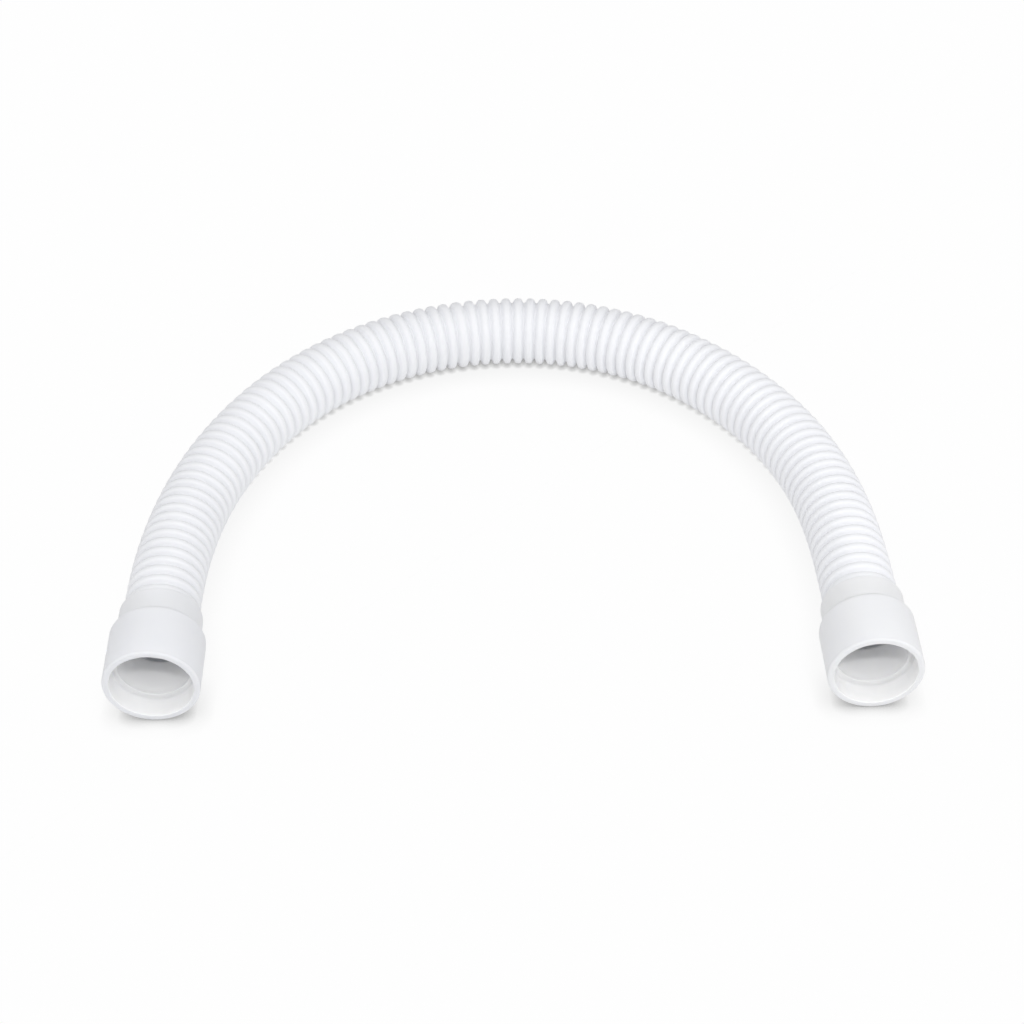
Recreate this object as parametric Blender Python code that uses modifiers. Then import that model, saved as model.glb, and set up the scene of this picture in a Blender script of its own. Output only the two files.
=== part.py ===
"""Flexible corrugated hose, lying in a wide arch, with a stepped socket cuff on each end.

Metres, +Z up. The origin is the middle of the bounding box's base. X runs across the
arch, and both mouths face -Y. The hose's low ribs and both bells lie on z = 0.
"""

import math

import bpy
import numpy as np
from mathutils import Matrix, Vector

for o in list(bpy.data.objects):
    bpy.data.objects.remove(o, do_unlink=True)

MM = 0.001

# ---------------------------------------------------------------- hose
CREST_R = 18.60 * MM  # outside of a rib: 37.2 mm across
GROOVE_R = 16.10 * MM  # outside of the wall between two ribs
IN_CREST_R = 17.95 * MM  # bore inside a rib
IN_GROOVE_R = 15.50 * MM  # narrowest bore, 31 mm
HIDDEN_CREST_R = 18.4 * MM  # the end ribs, pressed into the collar
PITCH = 6.80 * MM
RIBS = 96  # ribs between the two collars
WIDE_RIB = 43  # one rib is wider, where the two mould halves' blocks met
WIDE_BY = 0.9 * MM
# how far the pitch is stretched, at rib numbers -48, -24, 0, 24 and 48
STRETCH = (-0.0005, 0.0233, -0.0205, -0.0179, 0.0189)
FLAT = 0.24  # half of a rib's flat top, in pitches
HOSE_SIDES = 12

# ---------------------------------------------------------------- cuffs
CUFF_LEN = 46.4 * MM
COLLAR_LEN = 13.2 * MM
COLLAR_R = 20.4 * MM
COLLAR_BORE_R = 18.85 * MM  # the hose is glued in here
COLLAR_DEPTH = 13.0 * MM
BELL_R = 23.3 * MM
SHOULDER_LEN = 3.6 * MM  # from the collar's radius to the bell's
BORE_R = 17.4 * MM
SOCKET_R = 20.0 * MM
SOCKET_DEPTH = 11.7 * MM
STOP_SLOPE = 0.5 * MM
LIP_ROUND = 1.1 * MM
LIP_IN = 0.4 * MM
HOSE_IN = 12.5 * MM  # how far the hose goes into a collar
CUFF_SIDES = 32

# ---------------------------------------------------------------- the route, in mm
LEFT_EDGE = Vector((-172.10, -103.44, 23.30)) * MM  # middle of the left collar's edge
RIGHT_EDGE = Vector((171.36, -99.70, 23.30)) * MM
LEFT_HEADING = math.radians(0.24)  # which way a mouth faces, from -Y towards +X
RIGHT_HEADING = math.radians(0.86)
ROUTE = [
    (-171.7, -76.2, 22.72), (-169.6, -48.9, 21.33), (-165.2, -21.6, 19.82), (-157.9, 5.1, 18.89),
    (-147.3, 30.8, 18.62), (-133.5, 54.9, 18.62), (-116.6, 76.7, 18.62), (-96.6, 95.6, 18.62),
    (-74.1, 110.8, 18.62), (-49.5, 122.0, 18.62), (-23.5, 128.9, 18.62), (3.1, 131.3, 18.62),
    (29.6, 129.1, 18.62), (55.2, 122.2, 18.62), (79.1, 111.0, 18.62), (100.8, 95.9, 18.62),
    (119.8, 77.7, 18.62), (136.2, 56.8, 18.62), (149.6, 33.6, 18.62), (159.4, 8.6, 18.89),
    (165.8, -17.7, 19.82), (169.2, -44.7, 21.33), (170.7, -72.1, 22.72),
]


def facing(heading):
    return Vector((math.sin(heading), -math.cos(heading), 0.0))


def smooth_line(knots, step=0.0015):
    """Points about step apart on the natural cubic spline through the knots."""
    k = np.array([tuple(p) for p in knots], float)
    t = np.concatenate([[0], np.cumsum(np.linalg.norm(np.diff(k, axis=0), axis=1))])
    h = np.diff(t)
    n = len(t)
    a = np.zeros((n, n))
    b = np.zeros((n, 3))
    a[0, 0] = a[-1, -1] = 1
    for i in range(1, n - 1):
        a[i, i - 1], a[i, i], a[i, i + 1] = h[i - 1], 2 * (h[i - 1] + h[i]), h[i]
        b[i] = 6 * ((k[i + 1] - k[i]) / h[i] - (k[i] - k[i - 1]) / h[i - 1])
    m = np.linalg.solve(a, b)
    out = []
    for u in np.linspace(0, t[-1], int(t[-1] / step) + 1):
        i = min(max(int(np.searchsorted(t, u, side="right")) - 1, 0), n - 2)
        p, q = t[i + 1] - u, u - t[i]
        out.append(
            (m[i] * p**3 + m[i + 1] * q**3) / (6 * h[i])
            + (k[i] / h[i] - m[i] * h[i] / 6) * p
            + (k[i + 1] / h[i] - m[i + 1] * h[i] / 6) * q
        )
    return np.array(out)


def line_length(line):
    return float(np.linalg.norm(np.diff(line, axis=0), axis=1).sum())


def route():
    """The hose's centreline, from inside the left collar to inside the right one."""
    fl, fr = facing(LEFT_HEADING), facing(RIGHT_HEADING)
    knots = [LEFT_EDGE + fl * HOSE_IN, LEFT_EDGE + fl * HOSE_IN * 0.5, LEFT_EDGE]
    knots += [Vector(p) * MM for p in ROUTE]
    knots += [RIGHT_EDGE, RIGHT_EDGE + fr * HOSE_IN * 0.5, RIGHT_EDGE + fr * HOSE_IN]
    return smooth_line(knots)


def rib_lengths():
    """The length of each visible rib along the hose, from the left collar to the right."""
    at = np.array([-48, -24, 0, 24, 48], float)
    mid = np.arange(RIBS) + 0.5 - RIBS / 2
    g = np.interp(mid, at, STRETCH)
    p = PITCH * (1 + g)
    p[WIDE_RIB] += WIDE_BY
    return p


# ---------------------------------------------------------------- scene helpers
def collection(name):
    c = bpy.data.collections.new(name)
    bpy.context.scene.collection.children.link(c)
    return c


PARTS = collection("flexible_hose")
GUIDES = collection("guides")


def plastic(name, colour, roughness):
    m = bpy.data.materials.new(name)
    m.use_nodes = True
    b = m.node_tree.nodes["Principled BSDF"]
    b.inputs["Base Color"].default_value = (*colour, 1)
    b.inputs["Roughness"].default_value = roughness
    b.inputs["Metallic"].default_value = 0.0
    return m


def turned(name, loop, sides, material):
    """A closed profile of (radius, height) points, turned about Z."""
    mesh = bpy.data.meshes.new(name)
    n = len(loop)
    mesh.from_pydata([(r, 0, z) for r, z in loop], [(i, (i + 1) % n) for i in range(n)], [])
    o = bpy.data.objects.new(name, mesh)
    PARTS.objects.link(o)
    o.data.materials.append(material)
    s = o.modifiers.new("turn", "SCREW")
    s.axis = "Z"
    s.angle = 2 * math.pi
    s.steps = s.render_steps = sides
    s.use_merge_vertices = True
    s.merge_threshold = 0.00002
    s.use_smooth_shade = False
    return o


# ---------------------------------------------------------------- hose
def hose_loop(total):
    """Down the outside from the top end, then up the bore. z = 0 is the left end."""
    ribs = rib_lengths()
    scale = (total - 2 * HOSE_IN) / ribs.sum()
    ribs = ribs * scale
    end_rib = HOSE_IN / 2
    lengths = np.concatenate([[end_rib, end_rib], ribs, [end_rib, end_rib]])
    edges = np.concatenate([[0], np.cumsum(lengths)])
    out, inner = [], []
    last = len(lengths) - 1
    for i, length in enumerate(lengths):
        a, b = edges[i], edges[i + 1]
        c = (a + b) / 2
        hidden = i < 2 or i > last - 2
        crest = HIDDEN_CREST_R if hidden else CREST_R
        out += [(GROOVE_R, a), (crest, c - FLAT * length), (crest, c + FLAT * length)]
        inner += [(IN_GROOVE_R, a), (IN_CREST_R, c)]
    out.append((GROOVE_R, edges[-1]))
    inner.append((IN_GROOVE_R, edges[-1]))
    return out[::-1] + inner


def make_hose():
    line = route()
    total = line_length(line)
    curve = bpy.data.curves.new("hose_route", "CURVE")
    curve.dimensions = "3D"
    curve.twist_mode = "Z_UP"
    curve.use_path = True
    spline = curve.splines.new("POLY")
    spline.points.add(len(line) - 1)
    for p, q in zip(spline.points, line):
        p.co = (*q, 1)
    guide = bpy.data.objects.new("hose_route", curve)
    GUIDES.objects.link(guide)
    guide.hide_render = True
    guide.display_type = "WIRE"

    white = plastic("hose_white", (0.86, 0.87, 0.89), 0.42)
    o = turned("hose", hose_loop(total), HOSE_SIDES, white)
    bend = o.modifiers.new("lay", "CURVE")
    bend.object = guide
    bend.deform_axis = "POS_Z"
    return o


# ---------------------------------------------------------------- cuffs
def arc(cx, cz, r, a0, a1, n):
    """Points on a circle in the profile plane; angles in degrees from +r towards +z."""
    return [
        (cx + r * math.cos(math.radians(a0 + (a1 - a0) * i / n)),
         cz + r * math.sin(math.radians(a0 + (a1 - a0) * i / n)))
        for i in range(n + 1)
    ]


def cuff_loop():
    """z = 0 is the collar's edge, z = CUFF_LEN the mouth."""
    mouth = CUFF_LEN
    stop = mouth - SOCKET_DEPTH
    step = COLLAR_LEN + SHOULDER_LEN
    rise = BELL_R - COLLAR_R
    loop = [(SOCKET_R + LIP_IN, mouth)]
    loop += arc(BELL_R - LIP_ROUND, mouth - LIP_ROUND, LIP_ROUND, 90, 0, 3)
    # the bell's shoulder rounds over, then drops to the collar
    loop += [
        (BELL_R, step),
        (BELL_R - 0.16 * rise, step - 0.42 * SHOULDER_LEN),
        (BELL_R - 0.52 * rise, step - 0.80 * SHOULDER_LEN),
        (COLLAR_R, COLLAR_LEN),
    ]
    loop += [(COLLAR_R, 0.5 * MM), (COLLAR_R - 0.4 * MM, 0)]
    loop += [
        (COLLAR_BORE_R, 0),
        (COLLAR_BORE_R, COLLAR_DEPTH),
        (BORE_R, COLLAR_DEPTH),
        (BORE_R, stop - STOP_SLOPE),
        (SOCKET_R, stop),
        (SOCKET_R, mouth - LIP_IN),
    ]
    return loop


def make_cuff(name, edge, heading, colour):
    o = turned(name, cuff_loop(), CUFF_SIDES, plastic(name + "_white", colour, 0.38))
    z = facing(heading)
    x = Vector((0, 0, -1))
    y = z.cross(x)
    o.rotation_euler = Matrix((x, y, z)).transposed().to_euler()
    o.location = edge
    return o


hose = make_hose()
left_cuff = make_cuff("left_cuff", LEFT_EDGE, LEFT_HEADING, (0.80, 0.81, 0.83))
right_cuff = make_cuff("right_cuff", RIGHT_EDGE, RIGHT_HEADING, (0.82, 0.82, 0.84))
bpy.context.view_layer.update()
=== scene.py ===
"""The looks of the flexible hose: a white ribbed hose in a wide arch, with a stepped cuff on each end.

Metres, in the model's own frame. The hose and both cuffs are fine meshes that stand for the
plain solids, with procedural moulded-plastic materials.
"""

import math

import bmesh
import bpy
import numpy as np
from mathutils import Matrix, Vector


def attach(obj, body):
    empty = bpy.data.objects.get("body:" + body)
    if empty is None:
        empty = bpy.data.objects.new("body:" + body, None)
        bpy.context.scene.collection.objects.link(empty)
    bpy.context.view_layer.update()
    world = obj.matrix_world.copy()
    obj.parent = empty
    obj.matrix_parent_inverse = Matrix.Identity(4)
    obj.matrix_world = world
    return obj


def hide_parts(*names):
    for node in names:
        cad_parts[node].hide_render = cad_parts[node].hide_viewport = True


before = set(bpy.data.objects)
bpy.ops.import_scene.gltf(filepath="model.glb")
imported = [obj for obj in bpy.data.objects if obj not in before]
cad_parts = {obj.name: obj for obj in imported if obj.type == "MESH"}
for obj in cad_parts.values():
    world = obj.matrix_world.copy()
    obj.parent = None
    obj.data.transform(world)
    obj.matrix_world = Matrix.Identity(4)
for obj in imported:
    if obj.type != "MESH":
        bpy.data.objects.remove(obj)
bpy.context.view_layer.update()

MM = 0.001
scene = bpy.context.scene

# ---------------------------------------------------------------- camera
# at the photograph's viewing angle: 42 degrees down, almost straight along +Y
camera_data = bpy.data.cameras.new("camera")
camera_data.sensor_width = 36.0
camera_data.lens = 74.52
camera_data.clip_start = 0.01
camera_data.clip_end = 50.0
camera = bpy.data.objects.new("camera", camera_data)
scene.collection.objects.link(camera)
camera.location = (-0.01115, -0.84004, 0.75569)
camera.rotation_mode = "QUATERNION"
camera.rotation_quaternion = Vector((0.010565, 0.742224, -0.670068)).to_track_quat("-Z", "Y")
scene.camera = camera

# ---------------------------------------------------------------- sizes, as the solids have them
CREST_R = 18.60 * MM
GROOVE_R = 15.90 * MM
IN_CREST_R = 17.95 * MM
IN_GROOVE_R = 15.45 * MM
HIDDEN_CREST_R = 18.4 * MM
PITCH = 6.80 * MM
RIBS = 96
WIDE_RIB = 43
WIDE_BY = 0.9 * MM
STRETCH = (-0.0005, 0.0233, -0.0205, -0.0179, 0.0189)
HOSE_SIDES = 48

CUFF_LEN = 46.4 * MM
COLLAR_LEN = 13.2 * MM
COLLAR_R = 20.4 * MM
COLLAR_BORE_R = 18.85 * MM
COLLAR_DEPTH = 13.0 * MM
BELL_R = 23.3 * MM
SHOULDER_LEN = 3.6 * MM
BORE_R = 17.4 * MM
SOCKET_R = 20.0 * MM
SOCKET_DEPTH = 11.7 * MM
STOP_SLOPE = 0.5 * MM
HOSE_IN = 12.5 * MM
CUFF_SIDES = 128

LEFT_EDGE = Vector((-172.10, -103.44, 23.30)) * MM
RIGHT_EDGE = Vector((171.36, -99.70, 23.30)) * MM
LEFT_HEADING = math.radians(0.24)
RIGHT_HEADING = math.radians(0.86)
ROUTE = [
    (-171.7, -76.2, 22.72), (-169.6, -48.9, 21.33), (-165.2, -21.6, 19.82), (-157.9, 5.1, 18.89),
    (-147.3, 30.8, 18.62), (-133.5, 54.9, 18.62), (-116.6, 76.7, 18.62), (-96.6, 95.6, 18.62),
    (-74.1, 110.8, 18.62), (-49.5, 122.0, 18.62), (-23.5, 128.9, 18.62), (3.1, 131.3, 18.62),
    (29.6, 129.1, 18.62), (55.2, 122.2, 18.62), (79.1, 111.0, 18.62), (100.8, 95.9, 18.62),
    (119.8, 77.7, 18.62), (136.2, 56.8, 18.62), (149.6, 33.6, 18.62), (159.4, 8.6, 18.89),
    (165.8, -17.7, 19.82), (169.2, -44.7, 21.33), (170.7, -72.1, 22.72),
]


def facing(heading):
    return Vector((math.sin(heading), -math.cos(heading), 0.0))


class Line:
    """The natural cubic spline through the hose's knots, read by length along it."""

    def __init__(self, knots, step=0.0005):
        k = np.array([tuple(p) for p in knots], float)
        t = np.concatenate([[0], np.cumsum(np.linalg.norm(np.diff(k, axis=0), axis=1))])
        h = np.diff(t)
        n = len(t)
        a = np.zeros((n, n))
        b = np.zeros((n, 3))
        a[0, 0] = a[-1, -1] = 1
        for i in range(1, n - 1):
            a[i, i - 1], a[i, i], a[i, i + 1] = h[i - 1], 2 * (h[i - 1] + h[i]), h[i]
            b[i] = 6 * ((k[i + 1] - k[i]) / h[i] - (k[i] - k[i - 1]) / h[i - 1])
        m = np.linalg.solve(a, b)
        u = np.linspace(0, t[-1], int(t[-1] / step) + 1)
        i = np.clip(np.searchsorted(t, u, side="right") - 1, 0, n - 2)
        p, q, hi = (t[i + 1] - u)[:, None], (u - t[i])[:, None], h[i][:, None]
        self.points = (
            (m[i] * p**3 + m[i + 1] * q**3) / (6 * hi)
            + (k[i] / hi - m[i] * hi / 6) * p
            + (k[i + 1] / hi - m[i + 1] * hi / 6) * q
        )
        seg = np.linalg.norm(np.diff(self.points, axis=0), axis=1)
        self.at = np.concatenate([[0], np.cumsum(seg)])
        self.length = float(self.at[-1])
        self.slopes = np.gradient(self.points, self.at, axis=0)

    def read(self, s):
        """Centre, and the two directions across the line, at length s."""
        c = np.array([np.interp(s, self.at, self.points[:, k]) for k in range(3)])
        d = np.array([np.interp(s, self.at, self.slopes[:, k]) for k in range(3)])
        d /= np.linalg.norm(d)
        side = np.cross(d, (0, 0, 1))
        side /= np.linalg.norm(side)
        return c, side, np.cross(side, d)


def hose_line():
    fl, fr = facing(LEFT_HEADING), facing(RIGHT_HEADING)
    knots = [LEFT_EDGE + fl * HOSE_IN, LEFT_EDGE + fl * HOSE_IN * 0.5, LEFT_EDGE]
    knots += [Vector(p) * MM for p in ROUTE]
    knots += [RIGHT_EDGE, RIGHT_EDGE + fr * HOSE_IN * 0.5, RIGHT_EDGE + fr * HOSE_IN]
    return Line(knots)


# ---------------------------------------------------------------- meshes
def ring_mesh(name, rings, sides):
    """A closed skin over rings of points, where the last ring joins the first."""
    n = len(rings)
    verts = np.concatenate(rings)
    faces = []
    for i in range(n):
        j = (i + 1) % n
        for k in range(sides):
            l = (k + 1) % sides
            faces.append((i * sides + k, i * sides + l, j * sides + l, j * sides + k))
    mesh = bpy.data.meshes.new(name)
    mesh.from_pydata([tuple(v) for v in verts], [], faces)
    bm = bmesh.new()
    bm.from_mesh(mesh)
    bmesh.ops.recalc_face_normals(bm, faces=bm.faces)
    bm.to_mesh(mesh)
    bm.free()
    mesh.shade_smooth()
    o = bpy.data.objects.new(name, mesh)
    scene.collection.objects.link(o)
    return o


# half of a rib, from the middle of the valley to the middle of the crest:
# distance from the crest's middle in rib lengths, and height over the valley
HALF_RIB = [
    (0.500, 0.00), (0.450, 0.04), (0.405, 0.15), (0.365, 0.33), (0.328, 0.53),
    (0.282, 0.73), (0.215, 0.89), (0.115, 0.975), (0.000, 1.0),
]
HALF_BORE = [(0.5, 0.0), (0.29, 0.55), (0.0, 1.0)]


def mirrored(half):
    """A whole rib's samples, without the last one, which is the next rib's first."""
    return [(-u, h) for u, h in half] + [(u, h) for u, h in half[-2:0:-1]]


def hose_mesh(name, line):
    at = np.array([-48, -24, 0, 24, 48], float)
    mid = np.arange(RIBS) + 0.5 - RIBS / 2
    ribs = PITCH * (1 + np.interp(mid, at, STRETCH))
    ribs[WIDE_RIB] += WIDE_BY
    ribs *= (line.length - 2 * HOSE_IN) / ribs.sum()
    end_rib = HOSE_IN / 2
    lengths = np.concatenate([[end_rib] * 2, ribs, [end_rib] * 2])
    edges = np.concatenate([[0], np.cumsum(lengths)])
    last = len(lengths) - 1
    outer, inner = [], []
    for i, length in enumerate(lengths):
        c = (edges[i] + edges[i + 1]) / 2
        crest = HIDDEN_CREST_R if i < 2 or i > last - 2 else CREST_R
        outer += [(c + u * length, GROOVE_R + h * (crest - GROOVE_R)) for u, h in mirrored(HALF_RIB)]
        inner += [(c + u * length, IN_GROOVE_R + h * (IN_CREST_R - IN_GROOVE_R)) for u, h in mirrored(HALF_BORE)]
    outer.append((edges[-1], GROOVE_R))
    inner.append((edges[-1], IN_GROOVE_R))
    angle = np.linspace(0, 2 * math.pi, HOSE_SIDES, endpoint=False)
    ca, sa = np.cos(angle)[:, None], np.sin(angle)[:, None]
    rings, rise = [], []
    for s, r in outer + inner[::-1]:
        c, side, up = line.read(s)
        rings.append(c + r * (ca * side + sa * up))
        rise.append(min(1.0, max(0.0, (r - GROOVE_R) / (CREST_R - GROOVE_R))))
    o = ring_mesh(name, rings, HOSE_SIDES)
    o.data.attributes.new("rise", "FLOAT", "POINT").data.foreach_set("value", np.repeat(rise, HOSE_SIDES))
    return o


def arc(cr, cz, r, a0, a1, n):
    """Points on a circle in the profile plane; angles in degrees from outwards towards the mouth."""
    return [
        (cr + r * math.cos(math.radians(a0 + (a1 - a0) * i / n)),
         cz + r * math.sin(math.radians(a0 + (a1 - a0) * i / n)))
        for i in range(n + 1)
    ]


def cuff_profile():
    """(radius, distance from the collar's edge), down the outside and back up the bore."""
    mouth = CUFF_LEN
    stop = mouth - SOCKET_DEPTH
    step = COLLAR_LEN + SHOULDER_LEN
    rise = BELL_R - COLLAR_R
    lip_out, lip_in = 1.15 * MM, 0.55 * MM
    loop = arc(BELL_R - lip_out, mouth - lip_out, lip_out, 90, 0, 8)
    loop += [(BELL_R, mouth - f * (mouth - step)) for f in (0.08, 0.2, 0.4, 0.6, 0.8, 0.93)]
    # the shoulder: a round-over, a short slope, and a tight hollow at the collar
    for i in range(15):
        t = i / 14
        drop = 1 - math.sqrt(max(0.0, 1 - t**2.0))
        loop.append((BELL_R - rise * 0.86 * (0.35 * t**2 + 0.65 * drop), step - SHOULDER_LEN * 0.90 * t))
    loop += [
        (COLLAR_R + 0.16 * MM, COLLAR_LEN + 0.14 * MM),
        (COLLAR_R + 0.03 * MM, COLLAR_LEN + 0.04 * MM),
        (COLLAR_R, COLLAR_LEN - 0.05 * MM),
    ]
    loop += [(COLLAR_R, COLLAR_LEN * f) for f in (0.9, 0.7, 0.5, 0.3, 0.12)]
    edge = 0.55 * MM
    loop += arc(COLLAR_R - edge, edge, edge, 0, -90, 5)
    loop += [
        (COLLAR_BORE_R + 0.1 * MM, 0), (COLLAR_BORE_R, 0.1 * MM), (COLLAR_BORE_R, COLLAR_DEPTH * 0.5),
        (COLLAR_BORE_R, COLLAR_DEPTH - 0.1 * MM), (COLLAR_BORE_R - 0.1 * MM, COLLAR_DEPTH),
        (BORE_R + 0.2 * MM, COLLAR_DEPTH), (BORE_R + 0.05 * MM, COLLAR_DEPTH + 0.06 * MM),
        (BORE_R, COLLAR_DEPTH + 0.25 * MM),
    ]
    brow, foot = STOP_SLOPE, 1.1 * MM
    run = stop - brow - COLLAR_DEPTH
    loop += [(BORE_R, COLLAR_DEPTH + run * f) for f in (0.3, 0.6, 0.85, 0.97)]
    # the stop: a rounded brow, an upright face, and a soft hollow at the socket's foot
    loop += arc(BORE_R + brow, stop - brow, brow, 180, 90, 5)
    loop += arc(SOCKET_R - foot, stop + foot, foot, -90, 0, 6)
    loop += [(SOCKET_R, stop + SOCKET_DEPTH * f) for f in (0.15, 0.35, 0.6, 0.85)]
    loop += arc(SOCKET_R + lip_in, mouth - lip_in, lip_in, 180, 90, 5)
    loop.append((SOCKET_R + 1.2 * MM, mouth))
    return loop


def cuff_mesh(name, edge, heading, outside, inside):
    z = np.array(facing(heading))
    x = np.array((0.0, 0.0, -1.0))
    y = np.cross(z, x)
    angle = np.linspace(0, 2 * math.pi, CUFF_SIDES, endpoint=False)
    ca, sa = np.cos(angle)[:, None], np.sin(angle)[:, None]
    profile = cuff_profile()
    rings = [np.array(edge) + z * h + r * (ca * x + sa * y) for r, h in profile]
    o = ring_mesh(name, rings, CUFF_SIDES)
    o.data.materials.append(outside)
    # the second material, for the bore, is a brighter copy of the first: painted light inside the mouth
    o.data.materials.append(inside)
    # a face is inside where both of its rings lie in the socket or the bore
    inner = [r <= SOCKET_R + 0.3 * MM and h > COLLAR_DEPTH - 0.01 * MM for r, h in profile]
    n = len(profile)
    for f in o.data.polygons:
        ring = f.index // CUFF_SIDES
        f.material_index = 1 if inner[ring] and inner[(ring + 1) % n] else 0
    return o


# ---------------------------------------------------------------- materials
def stops(ramp, table):
    """Sets a ramp's stops from (position, grey) pairs."""
    while len(ramp.elements) > 1:
        ramp.elements.remove(ramp.elements[-1])
    for i, (at, grey) in enumerate(table):
        e = ramp.elements[0] if i == 0 else ramp.elements.new(at)
        e.position = at
        e.color = (grey, grey, grey, 1)


def plastic(name, low, high, rough, grain, translucency, reach, along=None, rib=None):
    """Moulded plastic: a faint mottle in its colour and gloss, and a fine skin on its surface; with rib or along, also
    painted shade in its colour.
    """
    m = bpy.data.materials.new(name)
    m.use_nodes = True
    nodes, links = m.node_tree.nodes, m.node_tree.links
    b = nodes["Principled BSDF"]
    b.inputs["Metallic"].default_value = 0.0
    b.inputs["IOR"].default_value = 1.5
    b.inputs["Specular IOR Level"].default_value = 0.22
    b.inputs["Subsurface Weight"].default_value = translucency
    b.inputs["Subsurface Radius"].default_value = (1.0, 1.0, 1.05)
    b.inputs["Subsurface Scale"].default_value = reach
    where = nodes.new("ShaderNodeTexCoord")

    cloud = nodes.new("ShaderNodeTexNoise")
    cloud.inputs["Scale"].default_value = 38.0
    cloud.inputs["Detail"].default_value = 3.0
    cloud.inputs["Roughness"].default_value = 0.55
    links.new(where.outputs["Object"], cloud.inputs["Vector"])
    tone = nodes.new("ShaderNodeValToRGB")
    tone.color_ramp.elements[0].position = 0.3
    tone.color_ramp.elements[0].color = (*low, 1)
    tone.color_ramp.elements[1].position = 0.7
    tone.color_ramp.elements[1].color = (*high, 1)
    links.new(cloud.outputs["Fac"], tone.inputs["Fac"])
    if rib:
        # painted shade: the valley between two ribs, and a little the crest, are darkened against the rib's flanks
        rise = nodes.new("ShaderNodeAttribute")
        rise.attribute_name = "rise"
        rib_shade = nodes.new("ShaderNodeValToRGB")
        stops(rib_shade.color_ramp, rib)
        links.new(rise.outputs["Fac"], rib_shade.inputs["Fac"])
        deep = nodes.new("ShaderNodeMix")
        deep.data_type = "RGBA"
        deep.blend_type = "MULTIPLY"
        links.new(tone.outputs["Color"], deep.inputs["A"])
        links.new(rib_shade.outputs["Color"], deep.inputs["B"])
        # the painted rib shade is strongest round the arch and weakest in the two straight legs
        part = nodes.new("ShaderNodeSeparateXYZ")
        links.new(where.outputs["Object"], part.inputs["Vector"])
        rib_shade_strength = nodes.new("ShaderNodeMapRange")
        rib_shade_strength.inputs["From Min"].default_value = -0.02
        rib_shade_strength.inputs["From Max"].default_value = 0.08
        rib_shade_strength.inputs["To Min"].default_value = 0.05
        rib_shade_strength.inputs["To Max"].default_value = 1.0
        links.new(part.outputs["Y"], rib_shade_strength.inputs["Value"])
        links.new(rib_shade_strength.outputs["Result"], deep.inputs["Factor"])
        # painted shade: the hose's whole tone is set a little darker in the straight legs than round the arch
        level = nodes.new("ShaderNodeMapRange")
        level.inputs["From Min"].default_value = -0.02
        level.inputs["From Max"].default_value = 0.08
        level.inputs["To Min"].default_value = 0.958
        level.inputs["To Max"].default_value = 1.025
        links.new(part.outputs["Y"], level.inputs["Value"])
        # painted light: the hose is set a touch lighter towards the right end, as if more light fell there
        painted_light_to_right = nodes.new("ShaderNodeMapRange")
        painted_light_to_right.inputs["From Min"].default_value = -0.05
        painted_light_to_right.inputs["From Max"].default_value = 0.17
        painted_light_to_right.inputs["To Min"].default_value = 0.955
        painted_light_to_right.inputs["To Max"].default_value = 0.985
        links.new(part.outputs["X"], painted_light_to_right.inputs["Value"])
        both = nodes.new("ShaderNodeMath")
        both.operation = "MULTIPLY"
        links.new(painted_light_to_right.outputs["Result"], both.inputs[0])
        links.new(level.outputs["Result"], both.inputs[1])
        # painted shade: the gaps between the ribs are darkened low down, close to the floor
        near_floor_shade = nodes.new("ShaderNodeMapRange")
        near_floor_shade.inputs["From Min"].default_value = 0.0035
        near_floor_shade.inputs["From Max"].default_value = 0.0090
        near_floor_shade.inputs["To Min"].default_value = 1.0
        near_floor_shade.inputs["To Max"].default_value = 0.0
        links.new(part.outputs["Z"], near_floor_shade.inputs["Value"])
        gap_shade = nodes.new("ShaderNodeMath")
        gap_shade.operation = "MULTIPLY_ADD"
        gap_shade.inputs[1].default_value = 0.24
        gap_shade.inputs[2].default_value = -0.38
        links.new(rise.outputs["Fac"], gap_shade.inputs[0])
        grey = nodes.new("ShaderNodeMath")
        grey.operation = "MULTIPLY_ADD"
        grey.inputs[2].default_value = 1.0
        links.new(gap_shade.outputs["Value"], grey.inputs[0])
        links.new(near_floor_shade.outputs["Result"], grey.inputs[1])
        last = nodes.new("ShaderNodeMath")
        last.operation = "MULTIPLY"
        links.new(both.outputs["Value"], last.inputs[0])
        links.new(grey.outputs["Value"], last.inputs[1])
        paler = nodes.new("ShaderNodeVectorMath")
        paler.operation = "SCALE"
        links.new(deep.outputs["Result"], paler.inputs[0])
        links.new(last.outputs["Value"], paler.inputs["Scale"])
        links.new(paler.outputs["Vector"], b.inputs["Base Color"])
    elif along is None:
        links.new(tone.outputs["Color"], b.inputs["Base Color"])
    else:
        # along: painted shade over the first 16 mm in from the mouth, whose face is at y = along[0]
        part = nodes.new("ShaderNodeSeparateXYZ")
        links.new(where.outputs["Object"], part.inputs["Vector"])
        deep = nodes.new("ShaderNodeMapRange")
        deep.inputs["From Min"].default_value = along[0]
        deep.inputs["From Max"].default_value = along[0] + 0.016
        links.new(part.outputs["Y"], deep.inputs["Value"])
        shade = nodes.new("ShaderNodeValToRGB")
        shade.color_ramp.interpolation = "EASE"
        stops(shade.color_ramp, along[1])
        links.new(deep.outputs["Result"], shade.inputs["Fac"])
        mix = nodes.new("ShaderNodeMix")
        mix.data_type = "RGBA"
        mix.blend_type = "MULTIPLY"
        mix.inputs["Factor"].default_value = 1.0
        links.new(tone.outputs["Color"], mix.inputs["A"])
        links.new(shade.outputs["Color"], mix.inputs["B"])
        links.new(mix.outputs["Result"], b.inputs["Base Color"])

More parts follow.
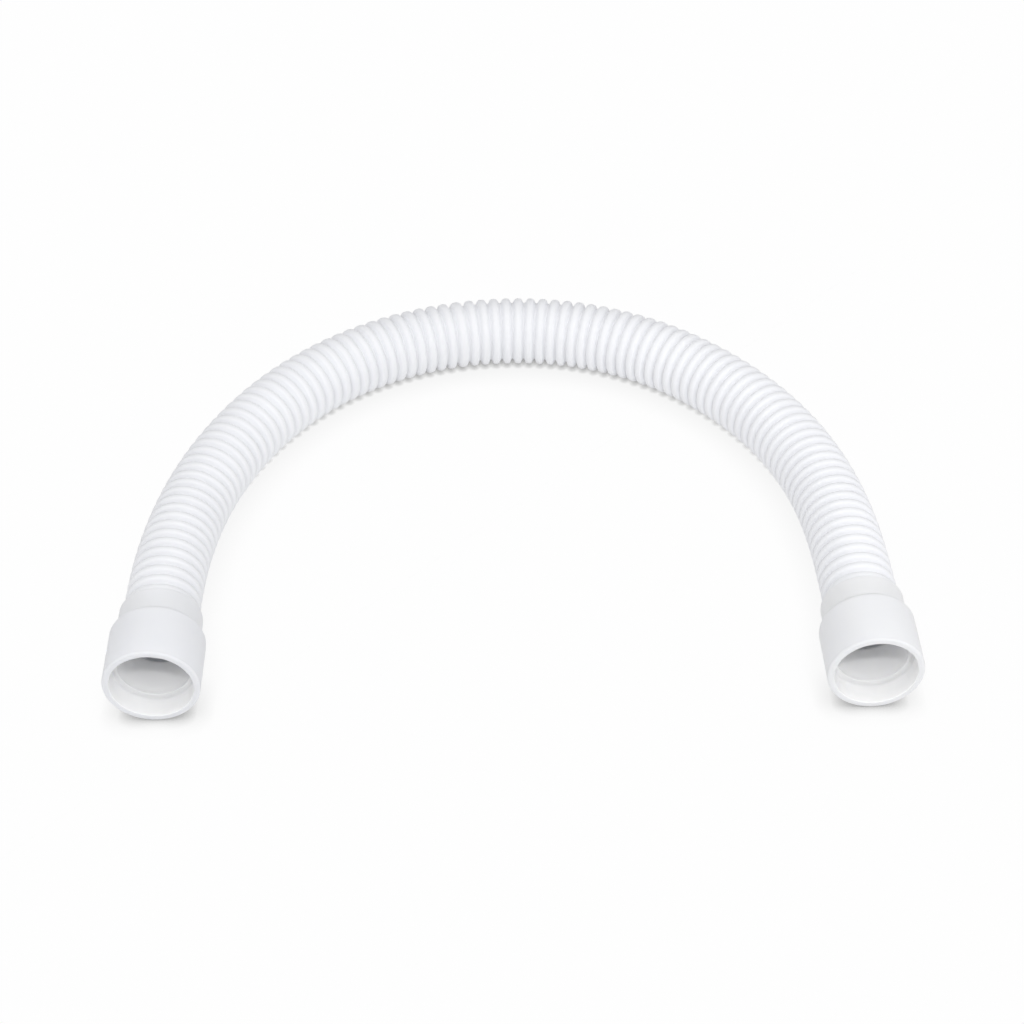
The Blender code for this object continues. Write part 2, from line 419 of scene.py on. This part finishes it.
    patch = nodes.new("ShaderNodeTexNoise")
    patch.inputs["Scale"].default_value = 120.0
    patch.inputs["Detail"].default_value = 2.0
    links.new(where.outputs["Object"], patch.inputs["Vector"])
    gloss = nodes.new("ShaderNodeMapRange")
    gloss.inputs["From Min"].default_value = 0.3
    gloss.inputs["From Max"].default_value = 0.7
    gloss.inputs["To Min"].default_value = rough - 0.04
    gloss.inputs["To Max"].default_value = rough + 0.05
    links.new(patch.outputs["Fac"], gloss.inputs["Value"])
    links.new(gloss.outputs["Result"], b.inputs["Roughness"])

    skin = nodes.new("ShaderNodeTexNoise")
    skin.inputs["Scale"].default_value = 1400.0
    skin.inputs["Detail"].default_value = 2.0
    links.new(where.outputs["Object"], skin.inputs["Vector"])
    bump = nodes.new("ShaderNodeBump")
    bump.inputs["Strength"].default_value = grain
    bump.inputs["Distance"].default_value = 0.00006
    links.new(skin.outputs["Fac"], bump.inputs["Height"])
    links.new(bump.outputs["Normal"], b.inputs["Normal"])
    return m


# painted shade over a rib, from the valley between two ribs up to a rib's crest: darkest in the valley, a little dark
# on the crest
RIB_PAINTED_SHADE = [(0.0, 0.850), (0.07, 0.865), (0.24, 0.985), (0.50, 1.0), (0.76, 0.985), (0.92, 0.945), (1.0, 0.935)]
# painted shade on a cuff's mouth: the lip's face and the first 2 mm in are darkened
LIP_PAINTED_SHADE = [(0.0, 0.93), (0.07, 0.95), (0.13, 1.0), (1.0, 1.0)]
# painted shade in the socket: bright at the lip, darkened at the stop, 11.7 mm in, and behind it
SOCKET_PAINTED_SHADE = [(0.0, 0.90), (0.05, 0.95), (0.12, 1.0), (0.45, 0.985), (0.60, 0.95), (0.66, 0.87), (0.71, 0.77), (0.75, 0.79), (0.80, 0.90), (0.88, 0.97), (1.0, 1.0)]
hose_white = plastic("hose_white", (0.868, 0.875, 0.902), (0.888, 0.895, 0.919), 0.55, 0.30, 0.08, 0.0005, rib=RIB_PAINTED_SHADE)
# painted shade: the left cuff's plastic is set a little darker than the right's, though they are the same moulding
left_white = plastic("left_cuff_white", (0.768, 0.777, 0.803), (0.788, 0.795, 0.819), 0.50, 0.20, 0.50, 0.0030, (-0.14984, LIP_PAINTED_SHADE))
# painted light: the bore's faces take a much brighter copy of the cuff's own plastic
left_bore_painted_light_and_shade = plastic("left_cuff_bore_painted_light_and_shade", (0.945, 0.949, 0.957), (0.957, 0.960, 0.966), 0.60, 0.20, 0.60, 0.0035, (-0.14984, SOCKET_PAINTED_SHADE))
right_white = plastic("right_cuff_white", (0.796, 0.802, 0.820), (0.814, 0.820, 0.835), 0.50, 0.20, 0.50, 0.0030, (-0.14609, LIP_PAINTED_SHADE))
right_bore_painted_light_and_shade = plastic("right_cuff_bore_painted_light_and_shade", (0.958, 0.960, 0.965), (0.968, 0.970, 0.974), 0.60, 0.20, 0.60, 0.0035, (-0.14609, SOCKET_PAINTED_SHADE))

# ---------------------------------------------------------------- the pieces
line = hose_line()

left_cuff = cuff_mesh("left_cuff_moulding", LEFT_EDGE, LEFT_HEADING, left_white, left_bore_painted_light_and_shade)
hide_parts("left_cuff")
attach(left_cuff, "root")

right_cuff = cuff_mesh("right_cuff_moulding", RIGHT_EDGE, RIGHT_HEADING, right_white, right_bore_painted_light_and_shade)
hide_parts("right_cuff")
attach(right_cuff, "root")

hose = hose_mesh("ribbed_hose", line)
hose.data.materials.append(hose_white)
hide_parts("hose")
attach(hose, "root")
centres = [tuple(line.read(s)[0]) for s in np.linspace(0, line.length, 200)]

# ---------------------------------------------------------------- floor and light
# the floor glows a little past white, though it is no lamp, and its soft shade close to the object is painted shadow
# from ambient occlusion
floor_mesh = bpy.data.meshes.new("floor")
floor_mesh.from_pydata([(-12, -12, 0), (12, -12, 0), (12, 12, 0), (-12, 12, 0)], [], [(0, 1, 2, 3)])
floor = bpy.data.objects.new("floor", floor_mesh)
scene.collection.objects.link(floor)
floor.location.z = -0.00005
glowing_floor = bpy.data.materials.new("floor_white")
glowing_floor.use_nodes = True
nodes, links = glowing_floor.node_tree.nodes, glowing_floor.node_tree.links
nodes.remove(nodes["Principled BSDF"])


# 1 in front of the two mouths, 0 from the legs on: where the floor's painted shadow is widened
spot = nodes.new("ShaderNodeNewGeometry")
place = nodes.new("ShaderNodeSeparateXYZ")
links.new(spot.outputs["Position"], place.inputs["Vector"])
front = nodes.new("ShaderNodeMapRange")
front.inputs["From Min"].default_value = -0.120
front.inputs["From Max"].default_value = -0.145
links.new(place.outputs["Y"], front.inputs["Value"])
back = nodes.new("ShaderNodeMath")
back.operation = "SUBTRACT"
back.inputs[0].default_value = 1.0
links.new(front.outputs["Result"], back.inputs[1])


def hidden(reach, towards, weight, bright, only=None):
    """Paints shadow on the glowing floor: takes away brightness where the object is within reach, on the side it is
    looked for.
    """
    sky = nodes.new("ShaderNodeAmbientOcclusion")
    sky.samples = 4
    sky.inputs["Distance"].default_value = reach
    sky.inputs["Normal"].default_value = Vector(towards).normalized()
    less = nodes.new("ShaderNodeMath")
    less.operation = "MULTIPLY_ADD"
    less.inputs[1].default_value = weight
    less.inputs[2].default_value = -weight
    links.new(sky.outputs["AO"], less.inputs[0])
    if only is not None:
        here = nodes.new("ShaderNodeMath")
        here.operation = "MULTIPLY"
        links.new(less.outputs["Value"], here.inputs[0])
        links.new(only, here.inputs[1])
        less = here
    total = nodes.new("ShaderNodeMath")
    total.operation = "ADD"
    links.new(less.outputs["Value"], total.inputs[0])
    if isinstance(bright, float):
        total.inputs[1].default_value = bright
    else:
        links.new(bright, total.inputs[1])
    return total.outputs["Value"]


# painted contact shadow: the dark line where it touches, then a soft wide halo
bright = hidden(0.0033, (0, 0.85, 0.53), 0.72, 1.030, back.outputs["Value"])
bright = hidden(0.025, (0, 0.5, 0.87), 0.16, bright)
# both painted shadows are wider in front of the mouths, whose bells stand over the floor
bright = hidden(0.0068, (0, 0.85, 0.53), 0.42, bright, front.outputs["Result"])
bright = hidden(0.013, (0, 0.80, 0.60), 0.26, bright, front.outputs["Result"])
limit = nodes.new("ShaderNodeClamp")
limit.inputs["Min"].default_value = 0.30
limit.inputs["Max"].default_value = 0.992
links.new(bright, limit.inputs["Value"])
glow = nodes.new("ShaderNodeEmission")
glow.inputs["Color"].default_value = (1, 1, 1, 1)
links.new(limit.outputs["Result"], glow.inputs["Strength"])
links.new(glow.outputs["Emission"], nodes["Material Output"].inputs["Surface"])
floor_mesh.materials.append(glowing_floor)

# wide soft lights, each brightest in one direction: azimuth from the front towards +X, height,
# how narrow, how bright
SOFT = [
    (0, 90, 6, 1.40),
    (0, 20, 6, 0.70),
    (0, 48, 6, 0.80),
    (90, 35, 6, 0.75),
    (-90, 35, 6, 0.80),
    (180, 40, 6, 0.40),
]
world = bpy.data.worlds.new("studio")
scene.world = world
world.use_nodes = True
nodes, links = world.node_tree.nodes, world.node_tree.links
where = nodes.new("ShaderNodeTexCoord")
total = None
for azimuth, height, narrow, strength in SOFT:
    az, el = math.radians(azimuth), math.radians(height)
    dot = nodes.new("ShaderNodeVectorMath")
    dot.operation = "DOT_PRODUCT"
    dot.inputs[1].default_value = (math.sin(az) * math.cos(el), -math.cos(az) * math.cos(el), math.sin(el))
    links.new(where.outputs["Generated"], dot.inputs[0])
    above = nodes.new("ShaderNodeMath")
    above.operation = "MAXIMUM"
    above.inputs[1].default_value = 0.0
    links.new(dot.outputs["Value"], above.inputs[0])
    power = nodes.new("ShaderNodeMath")
    power.operation = "POWER"
    power.inputs[1].default_value = narrow
    links.new(above.outputs["Value"], power.inputs[0])
    lit = nodes.new("ShaderNodeMath")
    lit.operation = "MULTIPLY_ADD"
    lit.inputs[1].default_value = strength
    lit.inputs[2].default_value = 0.02
    links.new(power.outputs["Value"], lit.inputs[0])
    if total is not None:
        links.new(total, lit.inputs[2])
    total = lit.outputs["Value"]
links.new(total, nodes["Background"].inputs["Color"])
nodes["Background"].inputs["Strength"].default_value = 1.0

# the key, a small soft lamp high in front
key_data = bpy.data.lights.new("key", "POINT")
key_data.energy = 27.0
key_data.shadow_soft_size = 0.040
key = bpy.data.objects.new("key", key_data)
scene.collection.objects.link(key)
key.location = (0.052, -1.136, 1.410)

# a soft box close by on the right, so that the right leg is a little brighter
fill_data = bpy.data.lights.new("fill", "AREA")
fill_data.shape = "SQUARE"
fill_data.size = 0.45
fill_data.energy = 1.2
fill = bpy.data.objects.new("fill", fill_data)
scene.collection.objects.link(fill)
fill.location = (0.88, -0.70, 0.48)
fill.rotation_mode = "QUATERNION"
fill.rotation_quaternion = (Vector((0.10, -0.02, 0.0)) - fill.location).to_track_quat("-Z", "Y")

scene.view_settings.view_transform = "Standard"
scene.view_settings.look = "None"
scene.view_settings.exposure = 0.0
scene.view_settings.gamma = 1.0

bpy.context.view_layer.update()
